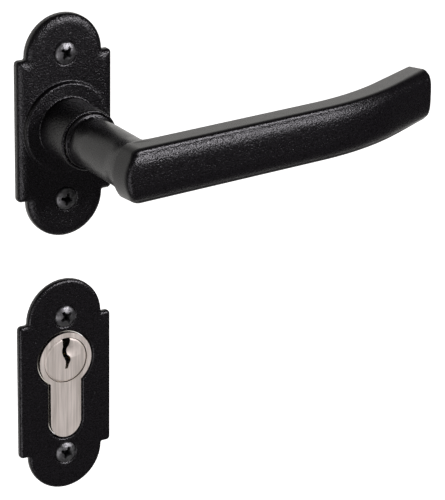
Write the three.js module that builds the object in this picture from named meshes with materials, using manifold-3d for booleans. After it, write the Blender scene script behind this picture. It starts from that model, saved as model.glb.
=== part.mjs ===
// A door lever set for a profile-cylinder lock: a sprung lever on its plate, the matching
// key escutcheon, and the half cylinder that shows through it.
//
// Millimetres. +X runs along the lever, +Y goes into the door, +Z is up. The origin is on
// the lever's turning axis, in the plane of the door's face.
import * as THREE from "three";
import { mergeVertices } from "three/addons/utils/BufferGeometryUtils.js";
import Module from "manifold-3d";

// ---- Driving dimensions ----------------------------------------------------------------

// Clearances.
const runningGap = 0.12;
const seatGap = 0.05;
const slideGap = 0.1;
const pinGap = 0.1;
const faceGap = 0.15;

// Distance of the key's axis below the lever's.
const leverToKey = 72;

// Both plates have the same outline: a shouldered middle with a round arch at each end.
// The web is what is left between a screw's seat and the cylinder's cut-out.
const plateWidth = 30;
const plateLedge = 3;
const plateCorner = 1.2;
const shoulderDrop = 0.15;
const screwBeyondArch = 0.65;
const screwWeb = 0.75;

const leverPlateThickness = 3;
const leverPlateEdge = 1.4;
const leverPlateBevel = 3;
const escutcheonThickness = 1.8;
const escutcheonEdge = 0.9;
const escutcheonBevel = 1;

// The raised boss, and the collar that the lever's neck turns in.
const bossHeight = 4.4;
const bossWall = 1.8;
const bossDish = 0.35;
const collarReach = 17.2;
const collarWall = 0.85;
const collarTaper = 0.8;
const mouthDepth = 1.4;
const recessDepth = 3;

// The square spindle and its grub screw.
const spindleSize = 8;
const spindleInLever = 30;
const spindleInDoor = 20;
const spindleChamfer = 0.5;
const grubRadius = 2.5;
const grubSocketRadius = 1.3;
const grubSocketDepth = 1.6;
const grubLength = 3;
const grubDistance = 26;

// The lever's neck, with the journal round the spindle that runs in the collar's bush.
const journalWall = 1;
const journalFlatDepth = 0.8;
const bushWall = 0.9;
const neckStep = 0.6;
const neckFlare = 0.4;
const flareLength = 6;
const beadStep = 0.45;
const beadLength = 1.3;

// The lever's arm: a straight grip that leans to the door, then curves in towards it.
const armProjection = 50.8;
const armHeight = 15.7;
const armThickness = 6.8;
const armCrown = 1.5;
const armLean = THREE.MathUtils.degToRad(6.2);
const armStraight = 58;
const bendRadius = 108;
const bendAngle = THREE.MathUtils.degToRad(28.8);
const armHeel = 7.7;
const heelRadius = 10.7;
const tipCorner = 2.4;
const armFrontCorner = 1.3;
const armBackCorner = 0.6;

// The torsion spring in the boss, with the disc and ring that hold it.
const springWire = 0.8;
const springTurns = 2;
const springPitch = 0.95;
const springGap = 0.8;
const driverRim = 2.3;
const driverThickness = 0.8;
const notchHalfWidth = 0.75;
const ringThickness = 0.7;
const ringWidth = 1.6;
const ringGrooveDepth = 0.6;
const ringOpening = THREE.MathUtils.degToRad(32);
const ringEyeRadius = 1.15;
const ringEyeHole = 0.5;

// Raised countersunk wood screws.
const screwHeadRadius = 3.5;
const screwDome = 1;
const screwShankRadius = 1.9;
const screwCoreRadius = 1.5;
const screwPlain = 5;
const screwPoint = 4;
const screwLength = 12;
const crossLength = 3.8;
const crossWidth = 0.9;
const crossDepth = 1.5;

// The profile cylinder's body.
const headRadius = 8.5;
const legWidth = 10;
const profileHeight = 33;
const cylinderProud = 2;
const frontLength = 14.5;
const bridgeLength = 6;
const fixingBelowKey = 20;
const fixingRadius = 2.1;
const cutoutGap = 0.8;

// Its plug.
const plugRadius = 6.5;
const plugFlangeStep = 0.4;
const plugFlangeLength = 1.4;
const plugChamfer = 0.5;
const tailStep = 2.1;
const tailFlatDepth = 1.1;
const tailBeyondRing = 0.6;
const keywayDepth = 13;
const keywayHalfWidth = 0.55;
const keywayMouth = 1.1;
const keywayTop = 7.2;
const keywayBottom = 2.8;
const guideRadius = 3.2;
const guideDepth = 0.9;
const guideAcross = 0.5;
const guideAbove = 3.4;

// Its cam.
const camRadius = 6.2;
const camThickness = 4;
const camReach = 15;
const camTabWidth = 5;
const camTabCorner = 1.5;
const camAngle = THREE.MathUtils.degToRad(-30);

// Its pins.
const pinCount = 3;
const pinSpacing = 3.8;
const firstPin = 3.8;
const pinRadius = 1.4;
const pinTip = 0.7;
const pinTipRadius = 0.4;
const keyPinLengths = [3.4, 4.6, 4];
const driverPinLength = 5.5;
const pinSpringWire = 0.36;
const pinSpringTurns = 5;
const chamberPlugLength = 2.7;
const chamberPlugInset = 0.3;

// Numbers of flats that stand for a circle.
const turnedSides = 48;
const screwSides = 18;
const pinSides = 12;

// ---- Fits worked out from them ---------------------------------------------------------

const screwSeat = screwHeadRadius + slideGap;
const screwHeight = profileHeight / 2 + cutoutGap + screwWeb + screwSeat;
const archRadius = plateWidth / 2 - plateLedge;
const archCentre = screwHeight - screwBeyondArch;
const shoulderTop = archCentre - shoulderDrop;

const socketHalf = spindleSize / 2 + slideGap;
const journalRadius = socketHalf * Math.SQRT2 + journalWall;
const journalFlat = journalRadius - journalFlatDepth;
const neckRadius = journalRadius + neckStep;
const beadRadius = neckRadius + beadStep;
const bushOuter = journalRadius + runningGap + bushWall;
const collarBore = bushOuter + seatGap;
const mouthRadius = Math.max(collarBore, beadRadius + runningGap);
const collarEndRadius = mouthRadius + collarWall;
const collarBaseRadius = collarEndRadius + collarTaper;
const beadFront = -collarReach - beadLength / 2;
const bushFront = -collarReach + mouthDepth + faceGap;

const driverRadius = journalRadius + driverRim;
const springRadius = driverRadius + springGap + springWire / 2;
const recessRadius = springRadius + springWire / 2 + springGap;
const bossRadius = recessRadius + bossWall;
const driverFront = -recessDepth + faceGap;
const driverBack = driverFront + driverThickness;
const ringFront = driverBack + faceGap;
const ringBack = ringFront + ringThickness;
const journalEnd = ringBack + 0.5;

const keyZ = -leverToKey;
const escutcheonZ = keyZ + headRadius - profileHeight / 2;
const face = -cylinderProud;
const bridgeFront = face + frontLength;
const bodyBack = bridgeFront + bridgeLength;
const profileBottom = profileHeight - headRadius;
const bridgeTop = camReach + faceGap;
const plugBore = plugRadius + runningGap;
const plugFlangeRadius = plugRadius + plugFlangeStep;
const tailRadius = plugRadius - tailStep;
const tailFlat = tailRadius - tailFlatDepth;
const camFront = bridgeFront + faceGap;
const camBack = camFront + camThickness;
const tailRingFront = camBack + faceGap;
const tailRingBack = tailRingFront + ringThickness;
const chamberRadius = pinRadius + pinGap;
const shearLine = Math.sqrt(plugRadius ** 2 - pinRadius ** 2) - pinGap;
const chamberTop = shearLine - Math.max(...keyPinLengths) - pinGap;
const pinPlaces = Array.from({ length: pinCount }, (_, i) => face + firstPin + i * pinSpacing);

// ---- Solids ----------------------------------------------------------------------------

const wasm = await Module();
wasm.setup();

// A closed geometry as a solid that can be joined and cut.
function solid(geometry) {
  const bare = geometry.clone();
  bare.deleteAttribute("normal");
  bare.deleteAttribute("uv");
  const merged = mergeVertices(bare, 1e-4);
  return new wasm.Manifold(
    new wasm.Mesh({
      numProp: 3,
      vertProperties: merged.attributes.position.array,
      triVerts: new Uint32Array(merged.index.array),
    }),
  );
}

// A solid as a geometry again.
function geometryOf(made) {
  const mesh = made.getMesh();
  const geometry = new THREE.BufferGeometry();
  geometry.setAttribute("position", new THREE.BufferAttribute(mesh.vertProperties, 3));
  geometry.setIndex(new THREE.BufferAttribute(mesh.triVerts, 1));
  geometry.computeVertexNormals();
  return geometry;
}

// A profile of [radius, y] points turned about Y. It starts and ends on the axis, or closes
// on itself, and runs towards +Y on its outside.
function turned(profile, sides = turnedSides) {
  const points = profile.map(([radius, y]) => new THREE.Vector2(radius, y));
  return new THREE.LatheGeometry(points, sides);
}

// A round bar about Y.
function round(radius, front, back, sides = turnedSides) {
  return turned([[0, front], [radius, front], [radius, back], [0, back]], sides);
}

// A ring about Y.
function ring(inner, outer, front, back, sides = turnedSides) {
  const profile = [[inner, front], [outer, front], [outer, back], [inner, back], [inner, front]];
  return turned(profile, sides);
}

// A block between two corners.
function block(low, high) {
  const size = high.map((value, i) => value - low[i]);
  const middle = high.map((value, i) => (value + low[i]) / 2);
  return new THREE.BoxGeometry(...size).translate(...middle);
}

// A shape drawn in X and Z, extruded along Y.
function prism(shape, front, back, curveSegments = 12) {
  const options = { depth: back - front, bevelEnabled: false, curveSegments };
  const geometry = new THREE.ExtrudeGeometry(shape, options);
  return geometry.rotateX(Math.PI / 2).translate(0, back, 0);
}

// A round wire along a curve.
function wire(curve, diameter, steps, sides) {
  const section = new THREE.Shape().absarc(0, 0, diameter / 2, 0, 2 * Math.PI);
  const options = { extrudePath: curve, steps, bevelEnabled: false, curveSegments: sides };
  return new THREE.ExtrudeGeometry(section, options);
}

// A closed skin over a row of rings that have the same number of points.
function skin(rings) {
  const count = rings[0].length;
  const positions = rings.flat().flatMap((point) => point.toArray());
  const index = [];
  for (let r = 0; r + 1 < rings.length; r++) {
    for (let i = 0; i < count; i++) {
      const a = r * count + i;
      const b = r * count + ((i + 1) % count);
      index.push(a, b, b + count, a, b + count, a + count);
    }
  }
  for (const last of [0, rings.length - 1]) {
    const middle = new THREE.Vector3();
    rings[last].forEach((point) => middle.addScaledVector(point, 1 / count));
    positions.push(...middle.toArray());
    const hub = positions.length / 3 - 1;
    for (let i = 0; i < count; i++) {
      const a = last * count + i;
      const b = last * count + ((i + 1) % count);
      index.push(...(last ? [hub, a, b] : [hub, b, a]));
    }
  }
  const geometry = new THREE.BufferGeometry();
  geometry.setAttribute("position", new THREE.Float32BufferAttribute(positions, 3));
  geometry.setIndex(index);
  return geometry;
}

// ---- Assembly --------------------------------------------------------------------------

const group = new THREE.Group();

const finishes = {
  castIron: { color: 0x26262a, roughness: 0.5, metalness: 0.6 },
  blackSteel: { color: 0x2c2c30, roughness: 0.35, metalness: 0.9 },
  steel: { color: 0xa9abb0, roughness: 0.35, metalness: 1 },
  nickel: { color: 0xb9b4ab, roughness: 0.3, metalness: 1 },
  brass: { color: 0xb08d4a, roughness: 0.35, metalness: 1 },
  nylon: { color: 0xd8d4c8, roughness: 0.6, metalness: 0 },
};

// Adds a piece to the set under its own name, with a material of its own.
function add(name, geometry, finish) {
  const mesh = new THREE.Mesh(geometry, new THREE.MeshStandardMaterial(finishes[finish]));
  mesh.name = name;
  group.add(mesh);
}

// ---- Plates ----------------------------------------------------------------------------

// The outline shared by both plates, as [x, z] points about the plate's middle.
function plateOutline(inset) {
  const halfWidth = plateWidth / 2 - inset;
  const shoulder = shoulderTop - inset;
  const corner = Math.max(plateCorner - inset, 0.3);
  const points = [];
  const arc = (x, z, radius, from, quarters, steps) => {
    for (let i = 0; i <= steps; i++) {
      const turn = (from + (i / steps) * quarters) * (Math.PI / 2);
      points.push([x + radius * Math.cos(turn), z + radius * Math.sin(turn)]);
    }
  };
  arc(halfWidth - corner, corner - shoulder, corner, -1, 1, 3);
  arc(halfWidth - corner, shoulder - corner, corner, 0, 1, 3);
  arc(0, archCentre, archRadius - inset, 0, 2, 18);
  arc(corner - halfWidth, shoulder - corner, corner, 1, 1, 3);
  arc(corner - halfWidth, corner - shoulder, corner, 2, 1, 3);
  arc(0, -archCentre, archRadius - inset, 2, 2, 18);
  return points;
}

// A plate with a square edge at the door and a soft bevel round its face.
function plateBlank(thickness, edge, bevel, z) {
  const ringAt = (y, inset) => plateOutline(inset).map(([x, up]) => new THREE.Vector3(x, y, z + up));
  const rings = [ringAt(0, 0)];
  const steps = 4;
  for (let i = 0; i <= steps; i++) {
    const turn = (i / steps) * (Math.PI / 2);
    const y = -edge - (thickness - edge) * Math.sin(turn);
    rings.push(ringAt(y, bevel * (1 - Math.cos(turn))));
  }
  return solid(skin(rings));
}

// The screw holes above and below a plate's middle.
function screwHoles(thickness, z) {
  const hole = screwShankRadius + slideGap;
  const profile = [[0, -thickness - 1], [screwSeat, -thickness - 1], [screwSeat, -thickness],
    [hole, screwSeat - hole - thickness], [hole, 1], [0, 1]];
  const top = solid(turned(profile, screwSides).translate(0, 0, z + screwHeight));
  const bottom = solid(turned(profile, screwSides).translate(0, 0, z - screwHeight));
  return top.add(bottom);
}

// A raised countersunk wood screw with its head's rim level with the plate's face.
function plateScrew(name, thickness, z) {
  const rim = -thickness;
  const neck = rim + screwHeadRadius - screwShankRadius;
  const profile = [
    [0, rim - screwDome],
    [0.5 * screwHeadRadius, rim - 0.8 * screwDome],
    [0.85 * screwHeadRadius, rim - 0.36 * screwDome],
    [screwHeadRadius, rim],
    [screwShankRadius, neck],
    [screwShankRadius, screwPlain],
    [screwCoreRadius, screwPlain + screwShankRadius - screwCoreRadius],
    [screwCoreRadius, screwLength - screwPoint],
    [0, screwLength],
  ];
  const reach = crossLength / 2;
  const half = crossWidth / 2;
  const top = rim - screwDome - 1;
  const bottom = rim - screwDome + crossDepth;
  const screw = solid(turned(profile, screwSides))
    .subtract(solid(block([-reach, top, -half], [reach, bottom, half])))
    .subtract(solid(block([-half, top, -reach], [half, bottom, reach])));
  add(name, geometryOf(screw).translate(0, 0, z), "blackSteel");
}

// ---- Lever plate, boss and collar ------------------------------------------------------

function leverPlate() {
  const dish = -bossHeight + bossDish;
  const bossAndCollar = [
    [0, -collarReach],
    [collarEndRadius - 0.35, -collarReach],
    [collarEndRadius, -collarReach + 0.4],
    [collarBaseRadius, -bossHeight - 1.4],
    [collarBaseRadius + 0.7, dish],
    [bossRadius - 1.4, dish],
    [bossRadius - 0.7, -bossHeight],
    [bossRadius - 0.15, -bossHeight + 0.35],
    [bossRadius + 0.3, -leverPlateThickness + 0.2],
    [0, -leverPlateThickness + 0.2],
  ];
  const legSlot = block([-notchHalfWidth, journalEnd - 1, recessRadius - 1],
    [notchHalfWidth, 1, recessRadius + springGap]);
  const body = plateBlank(leverPlateThickness, leverPlateEdge, leverPlateBevel, 0)
    .add(solid(turned(bossAndCollar)))
    .subtract(solid(round(collarBore, -collarReach - 1, 1)))
    .subtract(solid(round(mouthRadius, -collarReach - 1, -collarReach + mouthDepth)))
    .subtract(solid(round(recessRadius, -recessDepth, 1)))
    .subtract(solid(legSlot))
    .subtract(screwHoles(leverPlateThickness, 0));
  add("lever_backplate", geometryOf(body), "castIron");
}

function neckBush() {
  const inner = journalRadius + runningGap;
  add("neck_bush", ring(inner, bushOuter, bushFront, -recessDepth), "nylon");
}

// ---- Lever -----------------------------------------------------------------------------

// The middle of the arm's thickness at a distance along it from the turning axis, with the
// direction in which it runs, as an angle towards the door.
function armAt(distance) {
  const middle = -armProjection + armThickness / 2 / Math.cos(armLean);
  const straight = armStraight / Math.cos(armLean);
  if (distance <= straight) {
    const x = distance * Math.cos(armLean);
    return { x, y: middle + x * Math.tan(armLean), angle: armLean };
  }
  const angle = armLean + (distance - straight) / bendRadius;
  const x = armStraight + bendRadius * (Math.sin(angle) - Math.sin(armLean));
  const bendStart = middle + armStraight * Math.tan(armLean);
  const y = bendStart + bendRadius * (Math.cos(armLean) - Math.cos(angle));
  return { x, y, angle };
}

// One cross-section of the arm, as [outwards, up] points: a flat back and sides, rounded
// corners and a crowned front.
function armSection(halfHeight) {
  const half = armThickness / 2;
  const crown = armCrown * (halfHeight / (armHeight / 2));
  const frontCorner = Math.min(armFrontCorner, 0.7 * halfHeight);
  const backCorner = Math.min(armBackCorner, 0.7 * halfHeight);
  const section = [];
  const corner = (outwards, up, radius, from) => {
    for (let i = 0; i <= 3; i++) {
      const turn = from + (i / 3) * (Math.PI / 2);
      section.push([outwards + radius * Math.cos(turn), up + radius * Math.sin(turn)]);
    }
  };
  corner(backCorner - half, backCorner - halfHeight, backCorner, Math.PI);
  corner(half - frontCorner, frontCorner - halfHeight, frontCorner, 1.5 * Math.PI);
  const span = halfHeight - frontCorner;
  for (let i = 1; i < 8; i++) {
    const up = span * (i / 4 - 1);
    section.push([half + crown * (1 - (up / span) ** 2), up]);
  }
  corner(half - frontCorner, halfHeight - frontCorner, frontCorner, 0);
  corner(backCorner - half, halfHeight - backCorner, backCorner, 0.5 * Math.PI);
  return section;
}

// Half the arm's height: a shallow arc at the heel, and two round corners at the tip.
function armHalfHeight(fromTip, fromHeel) {
  const half = armHeight / 2;
  const inTip = Math.min(fromTip, tipCorner);
  const tip = half - tipCorner + Math.sqrt(inTip * (2 * tipCorner - inTip));
  const inHeel = Math.min(fromHeel + 0.2, heelRadius);
  const heel = Math.sqrt(inHeel * (2 * heelRadius - inHeel));
  return Math.min(tip, heel, half);
}

// The arm's skin: sections along its path from tip to heel, closest together at both ends.
function arm() {
  const end = armStraight / Math.cos(armLean) + bendRadius * bendAngle;
  const length = end + armHeel;
  const steps = 28;
  const rings = [];
  for (let i = 0; i <= steps; i++) {
    const fromTip = length * (0.5 - 0.5 * Math.cos((Math.PI * i) / steps));
    const halfHeight = armHalfHeight(fromTip, length - fromTip);
    const place = armAt(end - fromTip);
    const ringPoints = armSection(halfHeight).map(([outwards, up]) => new THREE.Vector3(
      place.x + outwards * Math.sin(place.angle),
      place.y - outwards * Math.cos(place.angle),
      up,
    ));
    rings.push(ringPoints);
  }
  return solid(skin(rings));
}

function lever() {
  const inArm = -armProjection + armThickness / 2;
  const armBack = -armProjection + armThickness;
  const neck = [
    [0, inArm],
    [neckRadius + neckFlare, inArm],
    [neckRadius + neckFlare, armBack],
    [neckRadius, armBack + flareLength],
    [neckRadius, beadFront - 0.6],
    [beadRadius - 0.2, beadFront - 0.25],
    [beadRadius, beadFront],
    [beadRadius, beadFront + beadLength],
    [journalRadius, beadFront + beadLength],
    [journalRadius, journalEnd],
    [0, journalEnd],
  ];
  const groove = ring(journalRadius - ringGrooveDepth, journalRadius + 1,
    ringFront - slideGap / 2, ringBack + slideGap / 2);
  const side = journalRadius + 1;
  const flats = solid(block([journalFlat, driverFront - slideGap, -side], [side, 1, side]))
    .add(solid(block([-side, driverFront - slideGap, -side], [-journalFlat, 1, side])));
  const grubHole = round(grubRadius + pinGap, 0, neckRadius + 2, screwSides)
    .rotateX(-Math.PI / 2).translate(0, -grubDistance, 0);
  const body = arm()
    .add(solid(turned(neck)))
    .subtract(solid(block([-socketHalf, -spindleInLever - faceGap, -socketHalf],
      [socketHalf, 1, socketHalf])))
    .subtract(solid(groove))
    .subtract(flats)
    .subtract(solid(grubHole));
  add("lever_handle", geometryOf(body), "castIron");
}

function spindle() {
  const side = spindleSize - 2 * spindleChamfer;
  const square = new THREE.Shape();
  square.moveTo(-side / 2, -side / 2);
  square.lineTo(side / 2, -side / 2);
  square.lineTo(side / 2, side / 2);
  square.lineTo(-side / 2, side / 2);
  square.closePath();
  const options = {
    depth: spindleInLever + spindleInDoor - 2 * spindleChamfer,
    bevelEnabled: true,
    bevelSize: spindleChamfer,
    bevelThickness: spindleChamfer,
    bevelSegments: 1,
  };
  const geometry = new THREE.ExtrudeGeometry(square, options);
  geometry.rotateX(Math.PI / 2).translate(0, spindleInDoor - spindleChamfer, 0);
  add("square_spindle", geometryOf(solid(geometry)), "steel");
}

// The grub screw points down, with a six-sided socket in its outer end.
function grubScrew() {
  const seat = spindleSize / 2 + faceGap;
  const end = seat + grubLength;
  const body = solid(round(grubRadius, seat, end, screwSides))
    .subtract(solid(round(grubSocketRadius, end - grubSocketDepth, end + 1, 6)));
  const geometry = geometryOf(body).rotateX(-Math.PI / 2).translate(0, -grubDistance, 0);
  add("spindle_grub_screw", geometry, "blackSteel");
}

// The disc that turns with the lever. Its notch takes the spring's inner leg.
function springDriver() {
  const bore = journalRadius + slideGap;
  const flat = journalFlat + slideGap;
  const boreSolid = solid(round(bore, driverFront - 1, driverBack + 1))
    .intersect(solid(block([-flat, driverFront - 1, -bore - 1], [flat, driverBack + 1, bore + 1])));
  const notch = block([-notchHalfWidth, driverFront - 1, -driverRadius - 1],
    [notchHalfWidth, driverBack + 1, -driverRadius + driverRim / 2]);
  const body = solid(round(driverRadius, driverFront, driverBack))
    .subtract(boreSolid)
    .subtract(solid(notch));
  add("spring_driver", geometryOf(body), "steel");
}

// A coil about Y with one leg turned in to the driver and one turned out to the plate.
function returnSpring() {
  const points = [];
  const stepsPerTurn = 16;
  const steps = stepsPerTurn * (springTurns + 0.5);
  const front = (driverFront + driverBack) / 2;
  const rise = (springPitch * springTurns) / (steps - 2);
  points.push(new THREE.Vector3(0, front, -(driverRadius - springWire)));
  points.push(new THREE.Vector3(0, front, -(springRadius - springWire / 2)));
  for (let i = 1; i < steps; i++) {
    const turn = (2 * Math.PI * i) / stepsPerTurn - Math.PI / 2;
    const y = front + rise * (i - 1);
    points.push(new THREE.Vector3(springRadius * Math.cos(turn), y, springRadius * Math.sin(turn)));
  }
  const back = front + rise * (steps - 2);
  points.push(new THREE.Vector3(0, back, springRadius + springWire / 2));
  points.push(new THREE.Vector3(0, back, recessRadius + springGap / 2));
  const curve = new THREE.CatmullRomCurve3(points, false, "centripetal");
  add("return_spring", wire(curve, springWire, 64, 3), "steel");
}

// An open spring ring with an eye at each end.
function openRing(inner, front, back) {
  const outer = inner + ringWidth;
  const halfGap = outer * Math.tan(ringOpening / 2);
  const middle = inner + ringEyeRadius;
  let body = solid(ring(inner, outer, front, back));
  body = body.subtract(solid(block([0, front - 1, -halfGap], [outer + 2, back + 1, halfGap])));
  for (const side of [-1, 1]) {
    const angle = side * (ringOpening / 2 + ringEyeRadius / middle);
    const [x, z] = [middle * Math.cos(angle), middle * Math.sin(angle)];
    const eye = solid(round(ringEyeRadius, front, back, pinSides).translate(x, 0, z));
    const hole = solid(round(ringEyeHole, front - 1, back + 1, pinSides).translate(x, 0, z));
    body = body.add(eye).subtract(hole);
  }
  return body;
}

function retainingRing() {
  const inner = journalRadius - ringGrooveDepth + slideGap;
  const body = openRing(inner, ringFront, ringBack);
  add("retaining_ring", geometryOf(body).rotateY(Math.PI), "steel");
}

// ---- Escutcheon ------------------------------------------------------------------------

// The cylinder's profile about the key's axis, grown by a gap.
function cylinderProfile(gap) {
  const head = headRadius + gap;
  const halfLeg = legWidth / 2 + gap;
  const legCentre = headRadius + legWidth / 2 - profileHeight;
  const shoulder = Math.asin(halfLeg / head);
  const profile = new THREE.Shape();
  profile.absarc(0, 0, head, shoulder - Math.PI / 2, 1.5 * Math.PI - shoulder);
  profile.absarc(0, legCentre, halfLeg, Math.PI, 2 * Math.PI);
  return profile;
}

function escutcheon() {
  const cutout = prism(cylinderProfile(cutoutGap), -escutcheonThickness - 1, 1);
  const body = plateBlank(escutcheonThickness, escutcheonEdge, escutcheonBevel, escutcheonZ)
    .subtract(solid(cutout.translate(0, 0, keyZ)))
    .subtract(screwHoles(escutcheonThickness, escutcheonZ));
  add("escutcheon_plate", geometryOf(body), "castIron");
}

// ---- Cylinder --------------------------------------------------------------------------

// A bar standing along Z, between two distances below the key's axis.
function hanging(radius, from, to, y, sides = pinSides) {
  return round(radius, -to, -from, sides).rotateX(Math.PI / 2).translate(0, y, 0);
}

function cylinderBody() {
  const flangeBore = plugFlangeRadius + runningGap;
  const camSpace = block([-headRadius - 1, bridgeFront, -bridgeTop],
    [headRadius + 1, bodyBack + 1, headRadius + 1]);
  const fixing = round(fixingRadius, -legWidth, legWidth, screwSides)
    .rotateZ(Math.PI / 2).translate(0, (bridgeFront + bodyBack) / 2, -fixingBelowKey);
  let body = solid(prism(cylinderProfile(0), face, bodyBack))
    .subtract(solid(round(plugBore, face - 1, bridgeFront + 1)))
    .subtract(solid(round(flangeBore, face - 1, face + plugFlangeLength + faceGap)))
    .subtract(solid(camSpace))
    .subtract(solid(fixing));
  for (const y of pinPlaces) {
    body = body.subtract(solid(hanging(chamberRadius, plugRadius - 1, profileBottom + 1, y)));
  }
  add("cylinder_body", geometryOf(body).translate(0, 0, keyZ), "nickel");
}

// The keyway's zigzag section, open at the top of the plug. Each bend is a [middle, height,
// half width].
function keywayShape() {
  const bends = [
    [0, keywayTop, keywayMouth],
    [0.4, keywayTop - 0.8, keywayMouth],
    [-0.2, keywayTop - 2, keywayMouth],
    [0, 0.9, 1.5 * keywayHalfWidth],
    [0.8, -0.4, 1.2 * keywayHalfWidth],
    [0, -keywayBottom, keywayHalfWidth],
  ];
  const left = bends.map(([middle, height, half]) => new THREE.Vector2(middle - half, height));
  const right = bends.map(([middle, height, half]) => new THREE.Vector2(middle + half, height));
  return new THREE.Shape([...left, ...right.reverse()]);
}

function cylinderPlug() {
  const flangeBack = face + plugFlangeLength;
  const tailEnd = tailRingBack + tailBeyondRing;
  const profile = [
    [0, face],
    [plugFlangeRadius - plugChamfer, face],
    [plugFlangeRadius, face + plugChamfer],
    [plugFlangeRadius, flangeBack],
    [plugRadius, flangeBack],
    [plugRadius, bridgeFront - faceGap],
    [tailRadius, bridgeFront - faceGap],
    [tailRadius, tailRingFront - slideGap / 2],
    [tailRadius - ringGrooveDepth, tailRingFront - slideGap / 2],
    [tailRadius - ringGrooveDepth, tailRingBack + slideGap / 2],
    [tailRadius, tailRingBack + slideGap / 2],
    [tailRadius, tailEnd],
    [0, tailEnd],
  ];
  const guide = [
    [0, face - 1],
    [guideRadius * (1 + 1 / guideDepth), face - 1],
    [0, face + guideDepth],
  ];
  const flatCut = block([-tailRadius, bridgeFront - faceGap, tailFlat],
    [tailRadius, camBack, tailRadius + 1]);
  let body = solid(turned(profile))
    .subtract(solid(prism(keywayShape(), face - 1, face + keywayDepth)))
    .subtract(solid(turned(guide, screwSides).translate(guideAcross, 0, guideAbove)))
    .subtract(solid(flatCut));
  for (const y of pinPlaces) {
    body = body.subtract(solid(hanging(chamberRadius, chamberTop, plugRadius + 1, y)));
  }
  add("cylinder_plug", geometryOf(body).translate(0, 0, keyZ), "nickel");
}

function cylinderCam() {
  const half = camTabWidth / 2;
  const boreRadius = tailRadius + slideGap;
  const bore = solid(round(boreRadius, camFront - 1, camBack + 1)).intersect(solid(
    block([-boreRadius - 1, camFront - 1, -boreRadius - 1],
      [boreRadius + 1, camBack + 1, tailFlat + slideGap])));
  const tab = new THREE.Shape();
  tab.moveTo(-half, 0);
  const [corner, low] = [camTabCorner, camTabCorner - camReach];
  tab.absarc(corner - half, low, corner, Math.PI, 1.5 * Math.PI);
  tab.absarc(half - corner, low, corner, 1.5 * Math.PI, 2 * Math.PI);
  tab.lineTo(half, 0);
  const turnedTab = geometryOf(solid(prism(tab, camFront, camBack, 6))).rotateY(camAngle);
  const body = solid(round(camRadius, camFront, camBack))
    .add(solid(turnedTab))
    .subtract(bore);
  add("cylinder_cam", geometryOf(body).translate(0, 0, keyZ), "steel");
}

function plugCirclip() {
  const inner = tailRadius - ringGrooveDepth + slideGap;
  const body = openRing(inner, tailRingFront, tailRingBack);
  add("plug_circlip", geometryOf(body).rotateY(Math.PI / 2).translate(0, 0, keyZ), "steel");
}

// Each pin chamber holds a key pin, a driver pin, a spring and the plug that closes it.
function pinStack(number, y, keyPinLength) {
  const place = (geometry) => geometry.rotateX(Math.PI / 2).translate(0, y, keyZ);
  const shoulder = keyPinLength - pinTip - shearLine;
  const keyPin = [[0, -shearLine], [pinRadius, -shearLine], [pinRadius, shoulder],
    [pinTipRadius, shoulder + pinTip], [0, shoulder + pinTip]];
  add("key_pin_" + number, place(turned(keyPin, pinSides)), "brass");

  const driverTop = plugBore + seatGap;
  const driverBottom = driverTop + driverPinLength;
  const driver = round(pinRadius, -driverBottom, -driverTop, pinSides);
  add("driver_pin_" + number, place(driver), "steel");

  const plugBottom = profileBottom - chamberPlugInset - (legWidth / 2
    - Math.sqrt((legWidth / 2) ** 2 - pinRadius ** 2));
  const plugTop = plugBottom - chamberPlugLength;
  const cap = round(pinRadius + pinGap / 2, -plugBottom, -plugTop, pinSides);
  add("chamber_plug_" + number, place(cap), "brass");

  const springTop = driverBottom + seatGap + pinSpringWire / 2;
  const springLength = plugTop - seatGap - pinSpringWire / 2 - springTop;
  const coilRadius = pinRadius - pinSpringWire / 2;
  const stepsPerTurn = 9;
  const steps = pinSpringTurns * stepsPerTurn;
  const points = [];
  for (let i = 0; i <= steps; i++) {
    const turn = (2 * Math.PI * i) / stepsPerTurn;
    const height = -springTop - (springLength * i) / steps;
    points.push(new THREE.Vector3(coilRadius * Math.cos(turn), height, coilRadius * Math.sin(turn)));
  }
  const curve = new THREE.CatmullRomCurve3(points);
  add("pin_spring_" + number, place(wire(curve, pinSpringWire, steps, 2)), "steel");
}

// ---- The set ---------------------------------------------------------------------------

leverPlate();
neckBush();
lever();
spindle();
grubScrew();
springDriver();
returnSpring();
retainingRing();
plateScrew("lever_plate_screw_top", leverPlateThickness, screwHeight);
plateScrew("lever_plate_screw_bottom", leverPlateThickness, -screwHeight);
escutcheon();
plateScrew("escutcheon_screw_top", escutcheonThickness, escutcheonZ + screwHeight);
plateScrew("escutcheon_screw_bottom", escutcheonThickness, escutcheonZ - screwHeight);
cylinderBody();
cylinderPlug();
cylinderCam();
plugCirclip();
pinPlaces.forEach((y, i) => pinStack(i + 1, y, keyPinLengths[i]));

export default group;
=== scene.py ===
import math
import bmesh
import bpy
import numpy as np
from mathutils import Matrix, Quaternion, Vector


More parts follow.
